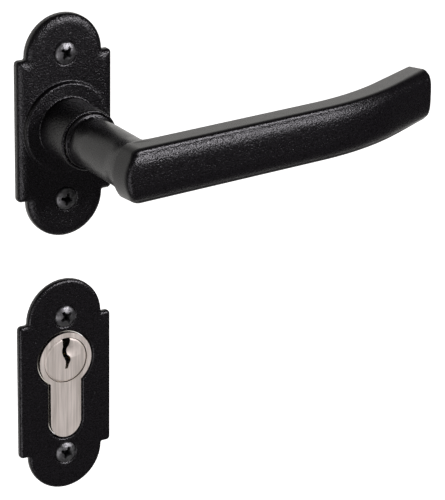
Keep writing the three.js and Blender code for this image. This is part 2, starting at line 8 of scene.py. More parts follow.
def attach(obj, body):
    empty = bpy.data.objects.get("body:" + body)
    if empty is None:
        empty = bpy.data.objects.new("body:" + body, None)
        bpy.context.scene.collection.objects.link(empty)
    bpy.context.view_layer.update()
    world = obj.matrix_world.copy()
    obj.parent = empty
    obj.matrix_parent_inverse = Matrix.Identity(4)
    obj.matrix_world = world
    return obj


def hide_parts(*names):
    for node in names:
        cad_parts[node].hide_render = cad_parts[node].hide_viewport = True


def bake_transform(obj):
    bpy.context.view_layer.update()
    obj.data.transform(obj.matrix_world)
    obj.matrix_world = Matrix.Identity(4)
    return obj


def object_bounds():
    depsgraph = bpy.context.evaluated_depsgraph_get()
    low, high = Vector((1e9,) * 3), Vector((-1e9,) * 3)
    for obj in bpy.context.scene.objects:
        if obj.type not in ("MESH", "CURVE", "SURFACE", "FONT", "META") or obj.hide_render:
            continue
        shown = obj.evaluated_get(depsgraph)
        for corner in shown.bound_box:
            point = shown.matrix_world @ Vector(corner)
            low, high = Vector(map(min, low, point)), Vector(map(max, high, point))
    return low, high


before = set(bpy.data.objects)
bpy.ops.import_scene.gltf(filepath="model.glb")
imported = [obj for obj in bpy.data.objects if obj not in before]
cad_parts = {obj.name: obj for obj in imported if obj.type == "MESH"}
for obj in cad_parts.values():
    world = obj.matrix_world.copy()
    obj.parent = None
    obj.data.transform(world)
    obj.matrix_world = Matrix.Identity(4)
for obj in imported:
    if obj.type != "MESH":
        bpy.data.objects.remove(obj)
cadLow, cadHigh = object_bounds()
scene = bpy.context.scene
print("frame: CAD model loaded")

# Shapes are drawn in millimetres and scaled to metres when a piece is finished.
# +X runs along the lever, +Y goes into the door, +Z is up.
millimetre = 0.001  # in metres
keyHeight = -72  # of the key's axis; the lever's axis is at zero


# ---- camera, lights and floor

camera = {
    "place": (-0.34897, -0.66650, 0.24477),
    "aim": (0.05407, -0.00011, -0.04796),
    "roll": 0.89,
    "lens": 200.1,
}
studio = {
    "floorDrop": 0.30,  # below the lowest point of the set
    "floorSize": 14,
    "centre": (0.03, -0.02, -0.03),
    "softboxColour": "#fcf8ff",
    "whiteSeen": 1.05,  # the backdrop's strength as the camera sees it
}
# The room as the set sees it, along each axis: where its light changes, then the light before and after.
room = {"Y": (-0.15, 0.5, 0.06, 1.0), "Z": (0.45, 0.75, 1.0, 0.35), "X": (0.55, 0.9, 1.0, 0.08)}
# Each softbox: direction from the set's centre, distance, width, height and power.
softboxes = {
    "frontRight": {"towards": (0.50, -0.78, 0.36), "distance": 1.3, "size": (0.72, 0.26), "power": 16},
    "lowLeft": {"towards": (-0.56, -0.74, -0.36), "distance": 0.9, "size": (0.45, 0.45), "power": 2.4},
}


def linear(colour):
    channels = [int(colour[i:i + 2], 16) / 255 for i in (1, 3, 5)]
    return tuple(c / 12.92 if c <= 0.04045 else ((c + 0.055) / 1.055) ** 2.4 for c in channels) + (1,)


def addNode(tree, kind, inputs=None, **settings):
    # an input is a constant, or the output of another node
    node = tree.nodes.new(kind)
    for name, value in settings.items():
        setattr(node, name, value)
    for socket, value in (inputs or {}).items():
        if isinstance(value, bpy.types.NodeSocket):
            tree.links.new(value, node.inputs[socket])
        else:
            node.inputs[socket].default_value = value
    return node


def linked(name, data):
    made = bpy.data.objects.new(name, data)
    scene.collection.objects.link(made)
    return made


# Places a camera or a light, looking against the way back from what it faces.
def pointed(name, data, place, back, roll=0):
    made = linked(name, data)
    made.location = place
    made.rotation_mode = "QUATERNION"
    made.rotation_quaternion = back.to_track_quat("Z", "Y") @ Quaternion((0, 0, 1), math.radians(roll))
    return made


def newMaterial(name):
    made = bpy.data.materials.new(name)
    made.use_nodes = True
    made.node_tree.nodes.clear()
    return made


def finishMaterial(made, inputs):
    tree = made.node_tree
    surface = addNode(tree, "ShaderNodeBsdfPrincipled", inputs).outputs[0]
    addNode(tree, "ShaderNodeOutputMaterial", {0: surface})
    return made


def makeCamera():
    data = bpy.data.cameras.new("camera")
    data.lens = camera["lens"]
    data.sensor_width = 36
    data.clip_start = 0.05
    place = Vector(camera["place"])
    scene.camera = pointed("camera", data, place, place - Vector(camera["aim"]), camera["roll"])


def makeWorld():
    world = bpy.data.worlds.new("studio")
    world.use_nodes = True
    tree = world.node_tree
    tree.nodes.clear()
    way = addNode(tree, "ShaderNodeTexCoord").outputs["Generated"]
    axes = addNode(tree, "ShaderNodeSeparateXYZ", {0: way}).outputs
    light = 1.0
    for axis, change in room.items():
        side = addNode(tree, "ShaderNodeMapRange", dict(enumerate((axes[axis], *change))),
                       interpolation_type="SMOOTHSTEP").outputs[0]
        light = addNode(tree, "ShaderNodeMath", {0: light, 1: side}, operation="MULTIPLY").outputs[0]
    around = addNode(tree, "ShaderNodeBackground", {0: linear("#fffdfa"), 1: light}).outputs[0]
    white = addNode(tree, "ShaderNodeBackground", {0: (1, 1, 1, 1), 1: studio["whiteSeen"]}).outputs[0]
    seen = addNode(tree, "ShaderNodeLightPath").outputs["Is Camera Ray"]
    mixed = addNode(tree, "ShaderNodeMixShader", {0: seen, 1: around, 2: white}).outputs[0]
    addNode(tree, "ShaderNodeOutputWorld", {0: mixed})
    scene.world = world


def makeSoftbox(name, box):
    data = bpy.data.lights.new(name, "AREA")
    data.shape = "RECTANGLE"
    data.size, data.size_y = box["size"]
    data.energy = box["power"]
    data.color = linear(studio["softboxColour"])[:3]
    way = Vector(box["towards"]).normalized()
    pointed(name, data, Vector(studio["centre"]) + way * box["distance"], way)


def makeFloor():
    half = studio["floorSize"] / 2
    height = cadLow.z - studio["floorDrop"]
    corners = [(-half, -half, height), (half, -half, height), (half, half, height), (-half, half, height)]
    mesh = bpy.data.meshes.new("floor")
    mesh.from_pydata(corners, [], [(0, 1, 2, 3)])
    made = linked("floor", mesh)
    paper = newMaterial("pale paper")
    mesh.materials.append(finishMaterial(paper, {"Base Color": linear("#fbfbfa"), "Roughness": 0.9,
                                                 "Emission Color": (1, 1, 1, 1),
                                                 "Emission Strength": 1.0}))
    made.visible_glossy = False  # the set's black faces see a dark room below, not the paper
    made.visible_shadow = False


makeCamera()
makeWorld()
for softboxName, softbox in softboxes.items():
    makeSoftbox(softboxName, softbox)
makeFloor()
scene.view_settings.view_transform = "Standard"
print("stage: camera, lights and floor")


# ---- materials

# The common recipe: a fine pattern for the relief and a broad one, or the same, for the tone. A
# pattern is (size of a blotch in mm, detail, roughness, stretch), and the relief is (mm, strength).
def patternedMaterial(name, look):
    made = newMaterial(name)
    tree = made.node_tree
    place = addNode(tree, "ShaderNodeTexCoord").outputs["Object"]
    pattern = {}
    for use in ("fine", "broad"):
        if use not in look:
            pattern[use] = pattern["fine"]
            continue
        size, detail, roughness, stretch = look[use]
        along = addNode(tree, "ShaderNodeMapping", {"Vector": place, "Scale": stretch}).outputs[0]
        pattern[use] = addNode(tree, "ShaderNodeTexNoise", {
            "Vector": along, "Scale": 1 / (size * millimetre), "Detail": detail,
            "Roughness": roughness}).outputs[0]
    tone = pattern["broad"]
    if "summed" in look:
        tone = addNode(tree, "ShaderNodeMath", {0: pattern["fine"], 1: tone}, operation="ADD").outputs[0]
    low, high = look["roughness"]
    source = pattern[look.get("roughFrom", "fine")]
    inputs = dict(look["shader"])
    inputs["Roughness"] = addNode(tree, "ShaderNodeMapRange",
                                  {0: source, 1: 0.3, 2: 0.7, 3: low, 4: high}).outputs[0]
    depth, strength = look["relief"]
    inputs["Normal"] = addNode(tree, "ShaderNodeBump", {
        "Height": pattern["fine"], "Strength": strength, "Distance": depth * millimetre}).outputs[0]
    if len(look["tones"]) == 1:
        inputs["Base Color"] = linear(look["tones"][0])
    else:
        start, end = look.get("summed", (0.3, 0.7))
        share = addNode(tree, "ShaderNodeMapRange", {0: tone, 1: start, 2: end, 3: 0, 4: 1}).outputs[0]
        dark, pale = [linear(colour) for colour in look["tones"]]
        inputs["Base Color"] = addNode(tree, "ShaderNodeMix", {0: share, 6: dark, 7: pale},
                                       data_type="RGBA").outputs[2]
    # painted shade: where the mesh's attribute says so, the colour turns near black, standing in for the
    # shade deep in a screw's recess
    if "pooled" in look:
        pooled = addNode(tree, "ShaderNodeAttribute", attribute_name="pooled").outputs["Fac"]
        inputs["Base Color"] = addNode(
            tree, "ShaderNodeMix", {0: pooled, 6: inputs["Base Color"], 7: linear(look["pooled"])},
            data_type="RGBA").outputs[2]
    return finishMaterial(made, inputs)


even = (1, 1, 1)

# Turned steel screws under the same black lacquer as the castings, worn thin over the head: grey and
# rough. The cross recess carries painted shade: near black, deepening from its rim inwards.
screwSteel = patternedMaterial("black lacquered steel", {
    "fine": (0.5, 3, 0.6, even), "broad": (1.2, 2, 0.55, even), "relief": (0.10, 0.9),
    "tones": ("#4d4d4e", "#7c7c7c"), "pooled": "#060606", "roughness": (0.28, 0.46),
    "roughFrom": "broad", "shader": {"Metallic": 0.9}})

# Brass plated in satin nickel: warm grey, brushed up and down, with fine lines of light. The brush
# lines are 0.05 mm, drawn coarser.
satinNickel = patternedMaterial("brushed nickel plate", {
    "fine": (0.32, 3, 0.7, (1, 1, 0.03)), "broad": (1.4, 2, 0.5, (1, 1, 0.05)), "relief": (0.03, 0.8),
    "tones": ("#c6beb4", "#ebe3da"), "summed": (0.75, 1.25), "roughness": (0.5, 0.64),
    "shader": {"Metallic": 0.88}})

# The same plate left bright where a cutter finished it: a mirror with faint turning marks.
mirrorNickel = patternedMaterial("bright nickel plate", {
    "fine": (0.5, 2, 0.55, even), "relief": (0.006, 0.6), "tones": ("#ebe6de",),
    "roughness": (0.10, 0.18), "shader": {"Metallic": 1.0}})

# Bar steel with bright zinc plating: pale blue-grey, with a faint drawn grain along Y.
zincSteel = patternedMaterial("zinc plated steel", {
    "fine": (0.3, 3, 0.6, (1, 0.03, 1)), "broad": (3, 3, 0.55, even), "relief": (0.012, 0.6),
    "tones": ("#a9acb0", "#c0c2c4"), "roughness": (0.26, 0.40), "roughFrom": "broad",
    "shader": {"Metallic": 1.0}})

# Spring wire and stamped rings, oiled and blued in the furnace: dark, with a soft sheen.
wireSteel = patternedMaterial("blued spring steel", {
    "fine": (0.8, 3, 0.6, even), "relief": (0.01, 0.6), "tones": ("#4b4a4e", "#66666b"),
    "roughness": (0.28, 0.42), "shader": {"Metallic": 1.0}})

# Sintered steel: pressed powder, dull and evenly speckled.
camSteel = patternedMaterial("sintered steel", {
    "fine": (0.4, 4, 0.7, even), "relief": (0.03, 0.7), "tones": ("#77777a", "#97979a"),
    "roughness": (0.42, 0.58), "shader": {"Metallic": 1.0}})

# Turned brass pins: yellow, with fine rings left by the lathe.
pinBrass = patternedMaterial("turned brass", {
    "fine": (0.25, 2, 0.5, (0.05, 0.05, 1)), "relief": (0.01, 0.6), "tones": ("#b8934c", "#cda862"),
    "roughness": (0.22, 0.34), "shader": {"Metallic": 1.0}})

# Moulded natural nylon: off-white and waxy, with a fine spark-eroded skin.
bushNylon = patternedMaterial("natural nylon", {
    "fine": (0.3, 3, 0.6, even), "broad": (4, 2, 0.55, even), "relief": (0.015, 0.6),
    "tones": ("#d3cec0", "#e0dccf"), "roughness": (0.42, 0.56), "shader": {"IOR": 1.53}})


# Cast iron, sand cast and stove-lacquered black: a satin skin over a fine, crisp sandy grain
# that breaks highlights into specks. The relief is layered: waves, then grit, then grain.
def blackCastIron():
    made = newMaterial("black lacquered cast iron")
    tree = made.node_tree
    place = addNode(tree, "ShaderNodeTexCoord").outputs["Object"]
    rough = addNode(tree, "ShaderNodeAttribute", attribute_name="sandGrain").outputs["Fac"]
    # sand grit of 0.3 mm, drawn a little coarser
    grain = addNode(tree, "ShaderNodeTexNoise", {
        "Vector": place, "Scale": 1 / (0.42 * millimetre), "Detail": 2, "Roughness": 0.5}).outputs[0]
    waves = addNode(tree, "ShaderNodeTexNoise", {
        "Vector": place, "Scale": 1 / (4 * millimetre), "Detail": 1, "Roughness": 0.55}).outputs[0]
    grit = addNode(tree, "ShaderNodeTexVoronoi",
                   {"Vector": place, "Scale": 1 / (0.75 * millimetre)}).outputs["Distance"]
    relief = addNode(tree, "ShaderNodeBump", {
        "Height": waves, "Strength": 0.7, "Distance": 0.06 * millimetre}).outputs[0]
    for height, depth, low, high in ((grit, 0.05, 0.05, 0.7), (grain, 0.15, 0.06, 1.0)):
        strength = addNode(tree, "ShaderNodeMapRange", {0: rough, 1: 0, 2: 1, 3: low, 4: high}).outputs[0]
        relief = addNode(tree, "ShaderNodeBump", {
            "Height": height, "Strength": strength, "Distance": depth * millimetre,
            "Normal": relief}).outputs[0]
    share, satin = [
        addNode(tree, "ShaderNodeMapRange", {0: grain, 1: 0.3, 2: 0.7, 3: low, 4: high}).outputs[0]
        for low, high in ((0, 1), (0.23, 0.33))]
    colour = addNode(tree, "ShaderNodeMix", {0: share, 6: linear("#050405"), 7: linear("#0d0b0e")},
                     data_type="RGBA").outputs[2]
    return finishMaterial(made, {"Base Color": colour, "Roughness": satin, "IOR": 1.42, "Normal": relief})


castIron = blackCastIron()
print("materials: made")


# ---- tools for shapes

def smoothStep(value, start, end):
    share = np.clip((value - start) / (end - start), 0, 1)
    return share * share * (3 - 2 * share)


# A field is negative inside a solid and positive outside it, in about millimetres. These join
# two of them with a rounded edge or a fillet.
def overlapOf(a, b, corner=0.0):
    outside = np.hypot(np.maximum(a + corner, 0), np.maximum(b + corner, 0))
    return np.minimum(-corner, np.maximum(a, b)) + outside


def joinOf(a, b, fillet=0.0):
    inside = np.hypot(np.maximum(fillet - a, 0), np.maximum(fillet - b, 0))
    return np.maximum(fillet, np.minimum(a, b)) - inside


def cutFrom(a, b, corner=0.0):
    return overlapOf(a, -b, corner)


def objectFrom(name, points, faces):
    mesh = bpy.data.meshes.new(name)
    mesh.from_pydata(np.asarray(points, float).tolist(), [], [tuple(int(i) for i in f) for f in faces])
    mesh.validate()
    return linked(name, mesh)


# The surface of a field as an even mesh of four-sided faces, each point drawn onto the field.
def castFrom(name, field, low, high, step):
    sides = [np.arange(a, b + step, step) for a, b in zip(low, high)]
    grid = field(*np.meshgrid(*sides, indexing="ij"))
    inside = grid < 0
    corners = [np.array((i, j, k)) for i in (0, 1) for j in (0, 1) for k in (0, 1)]
    shape = np.array(inside.shape) - 1
    filled = sum(inside[tuple(slice(c, c + n) for c, n in zip(corner, shape))].astype(np.int8)
                 for corner in corners)
    mixed = (filled > 0) & (filled < 8)
    number = np.full(mixed.shape, -1)
    number[mixed] = np.arange(mixed.sum())
    cells = np.argwhere(mixed)
    total = np.zeros((len(cells), 3))
    hits = np.zeros(len(cells))
    axes = np.eye(3, dtype=int)
    for corner in corners:
        for axis in range(3):
            if corner[axis]:
                continue
            along = axes[axis]
            a = grid[tuple((cells + corner).T)]
            b = grid[tuple((cells + corner + along).T)]
            crossed = (a < 0) != (b < 0)
            share = np.where(crossed, a / np.where(crossed, a - b, 1), 0)
            total += (cells + corner + share[:, None] * along) * crossed[:, None]
            hits += crossed
    points = np.array(low) + step * total / hits[:, None]

    faces = []
    for axis in range(3):
        count = inside.shape[axis]
        first = inside.take(range(count - 1), axis)
        second = inside.take(range(1, count), axis)
        edges = np.argwhere(first != second)
        across = axes[(axis + 1) % 3]
        up = axes[(axis + 2) % 3]
        quads = np.stack([number[tuple((edges - i * across - j * up).T)]
                          for i, j in ((1, 1), (0, 1), (0, 0), (1, 0))], 1)
        back = ~first[tuple(edges.T)]
        quads[back] = quads[back][:, ::-1]
        faces.append(quads)
    faces = np.concatenate(faces)

    around = np.concatenate([faces[:, [i, (i + 1) % 4]] for i in range(4)])
    around = np.concatenate([around, around[:, ::-1]])
    share = np.bincount(around[:, 0], minlength=len(points))[:, None]
    for turn in range(3):
        points = ontoField(field, points, step)
        if turn < 2:
            middle = np.stack([np.bincount(around[:, 0], points[around[:, 1], i], len(points))
                               for i in range(3)], 1) / share
            points = points + 0.5 * (middle - points)
    return objectFrom(name, points, faces)


def ontoField(field, points, step):
    small = 0.01
    for _ in range(3):
        value = field(*points.T)
        slope = np.stack([(field(*(points + way).T) - field(*(points - way).T)) / (2 * small)
                          for way in small * np.eye(3)], 1)
        move = -(value / np.maximum((slope ** 2).sum(1), 0.25))[:, None] * slope
        length = np.linalg.norm(move, axis=1, keepdims=True)
        points = points + move * np.minimum(1, 0.5 * step / np.maximum(length, 1e-9))
    return points


# A path of (x, y, corner) points with its corners rounded.
def roundedPath(path, closed=False, steps=5):
    points = [np.array(p[:2], float) for p in path]
    corners = [p[2] if len(p) > 2 else 0 for p in path]
    made = []
    for i, point in enumerate(points):
        ends = not closed and i in (0, len(points) - 1)
        if ends or not corners[i]:
            made.append(point)
            continue
        sides = [points[i - 1] - point, points[(i + 1) % len(points)] - point]
        lengths = [np.linalg.norm(side) for side in sides]
        reach = min(corners[i], 0.48 * min(lengths))
        start, end = [point + side / length * reach for side, length in zip(sides, lengths)]
        for share in np.linspace(0, 1, steps + 1):
            made.append((1 - share) ** 2 * start + 2 * share * (1 - share) * point + share ** 2 * end)
    return made


def roundedOutline(corners, steps):
    return [tuple(p) for p in roundedPath(corners, True, steps)]


# A profile of (radius, y, corner) turned round Y. It starts and ends on the axis, or is a ring.
# The radius of a thread's crest is added where wanted.
def turned(name, profile, sides=96, thread=None):
    ring = profile[0][0] > 0
    path = roundedPath(profile, ring)
    angles = np.arange(sides) * 2 * math.pi / sides
    if thread:
        path = threadedPath(path, thread)
    points, rows = [], []
    for radius, y in path:
        if radius < 1e-6:
            rows.append([len(points)] * sides)
            points.append((0, y, 0))
            continue
        rows.append(range(len(points), len(points) + sides))
        for angle in angles:
            out = radius + (threadAt(thread, y, angle) if thread else 0)
            points.append((out * math.cos(angle), y, out * math.sin(angle)))
    if ring:
        rows.append(rows[0])
    faces = []
    for low, high in zip(rows, rows[1:]):
        for i in range(sides):
            j = (i + 1) % sides
            corners = [low[i], high[i], high[j], low[j]]
            kept = [c for n, c in enumerate(corners) if c != corners[n - 1]]
            if len(kept) > 2:
                faces.append(kept)
    return faceOutwards(objectFrom(name, points, faces))


def threadedPath(path, thread):
    made = [path[0]]
    for before, after in zip(path, path[1:]):
        inThread = before[1] >= thread["from"] - 1e-6 and after[1] <= thread["to"] + 1e-6
        steps = max(1, math.ceil((after[1] - before[1]) / thread["step"])) if inThread else 1
        made += [before + (after - before) * share for share in np.linspace(0, 1, steps + 1)[1:]]
    return made


def threadAt(thread, y, angle):
    fade = np.clip(min(y - thread["from"], thread["to"] - y) / thread["pitch"], 0, 1)
    phase = (y / thread["pitch"] + angle / (2 * math.pi)) % 1
    return thread["depth"] * fade * max(0.0, 1 - abs(phase - 0.5) / thread["crest"])


def discProfile(radius, front, back, corner=0):
    return [(0, front), (radius, front, corner), (radius, back, corner), (0, back)]


def ringProfile(inner, outer, front, back, corner):
    return [(inner, front, corner), (outer, front, corner), (outer, back, corner), (inner, back, corner)]


def faceOutwards(made):
    shell = bmesh.new()
    shell.from_mesh(made.data)
    bmesh.ops.remove_doubles(shell, verts=shell.verts, dist=1e-5)
    bmesh.ops.recalc_face_normals(shell, faces=shell.faces)
    shell.to_mesh(made.data)
    shell.free()
    return made


# An outline of (x, z) points, drawn at each (y, grown) level of its length, with flat ends.
def extruded(name, outline, levels):
    points, faces = [], []
    for y, grown in levels:
        points += [(x, y, z) for x, z in (outline(grown) if callable(outline) else outline)]
    count = len(points) // len(levels)
    for level in range(len(levels) - 1):
        for i in range(count):
            j = (i + 1) % count
            a, b = level * count + i, level * count + j
            faces.append((a, b, b + count, a + count))
    faces.append(tuple(range(count)))
    faces.append(tuple(range(len(points) - count, len(points))))
    return faceOutwards(objectFrom(name, points, faces))


def block(name, low, high):
    (x0, y0, z0), (x1, y1, z1) = low, high
    return extruded(name, [(x0, z0), (x1, z0), (x1, z1), (x0, z1)], [(y0, 0), (y1, 0)])


def evaluatedMesh(made):
    return bpy.data.meshes.new_from_object(made.evaluated_get(bpy.context.evaluated_depsgraph_get()))


def settle(made):
    mesh = evaluatedMesh(made)
    made.modifiers.clear()
    made.data = mesh
    return made


# A cutting tool reaches 1 or 2 mm past what it cuts.
def combine(made, tool, operation="DIFFERENCE"):
    modifier = made.modifiers.new("combine", "BOOLEAN")
    modifier.operation = operation
    modifier.solver = "MANIFOLD"
    modifier.object = tool
    settle(made)
    bpy.data.objects.remove(tool)
    return made


def easeEdges(made, width, segments=2, angle=35):
    modifier = made.modifiers.new("eased edges", "BEVEL")
    modifier.width = width
    modifier.segments = segments
    modifier.limit_method = "ANGLE"
    modifier.angle_limit = math.radians(angle)
    return settle(made)


def move(made, offset=(0, 0, 0), turn=0, axis="Y"):
    made.data.transform(Matrix.Translation(offset) @ Matrix.Rotation(math.radians(turn), 4, axis))
    return made


def finishPiece(made, materials, body, replaces, sharp=40):
    made.data.transform(Matrix.Scale(millimetre, 4))
    if isinstance(materials, bpy.types.Material):
        made.data.materials.clear()
        materials = [materials]
    for n, material in enumerate(materials):
        if n < len(made.data.materials):
            made.data.materials[n] = material
        else:
            made.data.materials.append(material)
    made.data.shade_smooth()
    made.data.set_sharp_from_angle(angle=math.radians(sharp))
    if isinstance(body, dict):
        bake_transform(made)
    else:
        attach(made, body)
    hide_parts(*replaces)
    print("piece:", made.name, len(made.data.polygons), "faces")
    return made


def setAttribute(made, name, values):
    # one value for every point, or one each
    attribute = made.data.attributes.new(name, "FLOAT", "POINT")
    attribute.data.foreach_set("value", np.full(len(made.data.vertices), values, np.float32))


def pointsOf(made):
    values = np.zeros(len(made.data.vertices) * 3, np.float32)
    made.data.vertices.foreach_get("co", values)
    return values.reshape(-1, 3).astype(float)


def finishCasting(made, sandGrain, body, replaces):
    setAttribute(made, "sandGrain", sandGrain)
    finishPiece(made, castIron, body, replaces, 60)


# ---- plates

plate = {
    "halfWidth": 15, "shoulder": 20.85, "corner": 1.2, "archRadius": 12, "archCentre": 21,
    "step": 0.3,
    "screwHeight": 21.65, "seatRadius": 3.6, "holeRadius": 2.3,
}
leverPlate = {
    "thickness": 3, "edge": 1.4, "bevel": 3,
    "bossRadius": 13.3, "bossHeight": 4.4, "bossCorner": 0.6, "bossFillet": 0.25, "bossTaper": 0.04,
    "collarBase": 8.98, "collarEnd": 8.82, "collarReach": 17.2, "collarLip": 0.6, "collarFillet": 0.25,
    "bore": 7.87, "mouth": 7.97, "mouthDepth": 1.4, "recess": 11.5, "recessDepth": 3,
    "slotHalf": 0.75, "slotFrom": 10.5, "slotTo": 12.3, "slotDepth": 1.7,
}
escutcheon = {"thickness": 1.8, "edge": 0.9, "bevel": 1, "height": -80, "gap": 0.75, "gapBehind": 0.12,
              "flareFrom": 0.5}
profile = {"head": 8.5, "leg": 5, "legCentre": -19.5}


def plateField(x, y, z, sizes):
    acrossX = np.abs(x) - plate["halfWidth"] + plate["corner"]
    acrossZ = np.abs(z) - plate["shoulder"] + plate["corner"]
    middle = np.hypot(np.maximum(acrossX, 0), np.maximum(acrossZ, 0)) - plate["corner"]
    middle = middle + np.minimum(np.maximum(acrossX, acrossZ), 0)
    arch = np.hypot(x, np.abs(z) - plate["archCentre"]) - plate["archRadius"]
    outline = joinOf(middle, arch, 0.4)
    rise = sizes["thickness"] - sizes["edge"]
    inwards = np.maximum(outline + sizes["bevel"], 0) / sizes["bevel"]
    upwards = np.maximum(-y - sizes["edge"], 0) / rise
    crown = (np.hypot(inwards, upwards) - 1) * rise
    blank = overlapOf(crown, y, 0.15)
    fromScrew = np.hypot(x, np.abs(z) - plate["screwHeight"])
    seat = (fromScrew - plate["seatRadius"] + y + sizes["thickness"]) * math.sqrt(0.5)
    return cutFrom(blank, np.minimum(seat, fromScrew - plate["holeRadius"]), 0.15)


def leverPlateField(x, y, z):
    s = leverPlate
    radius = np.hypot(x, z)
    above = -y - s["bossHeight"]
    boss = overlapOf(radius - s["bossRadius"] + s["bossTaper"] * above, above, s["bossCorner"])
    reach = np.clip((-y - s["bossHeight"]) / (s["collarReach"] - s["bossHeight"]), 0, 1)
    side = radius - s["collarBase"] + (s["collarBase"] - s["collarEnd"]) * reach
    collar = overlapOf(side, -y - s["collarReach"], s["collarLip"])
    boss = overlapOf(joinOf(boss, collar, s["collarFillet"]), y)
    body = joinOf(plateField(x, y, z, s), boss, s["bossFillet"])
    body = cutFrom(body, radius - s["bore"], 0.1)
    body = cutFrom(body, np.maximum(radius - s["mouth"], y + s["collarReach"] - s["mouthDepth"]), 0.2)
    body = cutFrom(body, np.maximum(radius - s["recess"], -y - s["recessDepth"]), 0.1)
    slotUp = np.maximum(z - s["slotTo"], s["slotFrom"] - z)
    slot = np.maximum(np.maximum(np.abs(x) - s["slotHalf"], slotUp), -y - s["slotDepth"])
    return cutFrom(body, slot)


def escutcheonField(x, y, z):
    s = escutcheon
    up = z - keyHeight
    gap = s["gapBehind"] + (s["gap"] - s["gapBehind"]) * smoothStep(-y, s["flareFrom"], s["thickness"])
    head = np.hypot(x, up) - profile["head"] - gap
    leg = np.hypot(x, up - np.clip(up, profile["legCentre"], 0)) - profile["leg"] - gap
    return cutFrom(plateField(x, y, z - s["height"], s), np.minimum(head, leg), 0.2)


leverPlateCasting = castFrom("lever_plate_casting", leverPlateField, (-15.6, -17.8, -33.6),
                             (15.6, 0.6, 33.6), plate["step"])
finishCasting(leverPlateCasting, 1, "fixed_set", ["lever_backplate"])

escutcheonCasting = castFrom("escutcheon_casting", escutcheonField, (-15.6, -2.4, -113.6),
                             (15.6, 0.6, -46.4), plate["step"])
finishCasting(escutcheonCasting, 0.85, "fixed_set", ["escutcheon_plate"])


# ---- lever

lever = {
    "step": 0.33,
    "projection": 50.8, "halfHeight": 7.85, "halfThickness": 3.4,
    "crown": 1.25, "crownSpan": 6.8, "crownPower": 4,
    "lean": math.radians(6.2), "straight": 60.3, "bendRadius": 83.7, "bend": math.radians(20), "tail": 21.4,
    "heelRadius": 10.7, "heelCentre": 2.8, "heelCorner": 1.2,
    "tipCorner": 2.0, "frontCorner": 1.3, "softTip": 0.8, "softLength": 20, "backCorner": 0.5,
    "neckAtBead": 6.95, "neck": 7.4, "swellTo": -26, "flare": 0.4, "flareFrom": -38.3, "flareTo": -44.3,
    "neckTop": -45.4, "neckEnd": -17.0,
    "heelBlend": 0.4, "armBlend": 1.6,
    "bead": 7.85, "beadPlace": -17.2, "beadHalf": 0.65,
    "journal": 6.8, "journalEnd": -0.7, "flat": 6.0, "flatFrom": -2.95,
    "groove": 6.2, "groovePlace": -1.55, "grooveHalf": 0.4,
    "socket": 4.1, "socketEnd": -30.15, "grubHole": 2.62, "grubPlace": -26,
}


# Distance along the arm from the turning axis, and outwards from the middle of its thickness.
def alongArm(x, y):
    s = lever
    lean, radius = s["lean"], s["bendRadius"]
    cos, sin = math.cos(lean), math.sin(lean)
    start = -s["projection"] + s["halfThickness"] / cos
    along = x * cos + (y - start) * sin
    out = x * sin - (y - start) * cos
    straight = s["straight"] / cos
    acrossX = x - s["straight"] + radius * sin
    acrossY = y - start - s["straight"] * math.tan(lean) - radius * cos
    angle = np.arctan2(acrossX, -acrossY) - lean
    bent = along > straight
    along = np.where(bent, straight + radius * angle, along)
    out = np.where(bent, np.hypot(acrossX, acrossY) - radius, out)
    tilt = lean + s["bend"]
    cos, sin = math.cos(tilt), math.sin(tilt)
    tailX = acrossX - radius * sin
    tailY = acrossY + radius * cos
    tail = tailX * cos + tailY * sin
    inTail = bent & (tail > 0)
    along = np.where(inTail, straight + radius * s["bend"] + tail, along)
    return along, np.where(inTail, tailX * sin - tailY * cos, out)


def armField(x, y, z):
    s = lever
    along, out = alongArm(x, y)
    end = s["straight"] / math.cos(s["lean"]) + s["bendRadius"] * s["bend"] + s["tail"]
    sides = np.abs(z) - s["halfHeight"]
    outline = overlapOf(along - end, sides, s["tipCorner"])
    inHeel = np.minimum(along - s["heelCentre"], 0)
    outline = overlapOf(outline, np.hypot(inHeel, z) - s["heelRadius"], s["heelCorner"])
    localHalf = np.sqrt(np.maximum(s["heelRadius"] ** 2 - inHeel ** 2, 0.2))
    crown = s["crown"] * np.minimum(localHalf / s["halfHeight"], 1)
    crown = crown * (1 - np.minimum(np.abs(z) / s["crownSpan"], 1) ** s["crownPower"])
    frontCorner = s["frontCorner"] + s["softTip"] * smoothStep(along, end - s["softLength"], end)
    shape = overlapOf(outline, out - s["halfThickness"] - crown, frontCorner)
    return overlapOf(shape, -out - s["halfThickness"], s["backCorner"])


def leverField(x, y, z):
    s = lever
    radius = np.hypot(x, z)
    swell = s["neck"] - s["neckAtBead"]
    neckRadius = s["neckAtBead"] + swell * smoothStep(y, s["beadPlace"], s["swellTo"])
    neckRadius = neckRadius + s["flare"] * smoothStep(y, s["flareFrom"], s["flareTo"])
    neck = overlapOf(radius - neckRadius, np.maximum(s["neckTop"] - y, y - s["neckEnd"]), 0.3)
    blend = s["heelBlend"] + s["armBlend"] * smoothStep(x, 0, s["neck"])
    body = joinOf(armField(x, y, z), neck, blend)
    bead = overlapOf(radius - s["bead"], np.abs(y - s["beadPlace"]) - s["beadHalf"], 0.35)
    body = joinOf(body, bead, 0.1)
    journal = overlapOf(radius - s["journal"], y - s["journalEnd"], 0.25)
    journal = np.maximum(journal, s["beadPlace"] - y)
    journal = cutFrom(journal, np.maximum(s["flat"] - np.abs(x), s["flatFrom"] - y))
    groove = np.maximum(s["groove"] - radius, np.abs(y - s["groovePlace"]) - s["grooveHalf"])
    body = np.minimum(body, cutFrom(journal, groove))
    socket = np.maximum(np.maximum(np.abs(x), np.abs(z)) - s["socket"], s["socketEnd"] - y)
    body = cutFrom(body, socket, 0.15)
    grub = np.maximum(np.hypot(x, y - s["grubPlace"]) - s["grubHole"], z)
    return cutFrom(body, grub, 0.15)


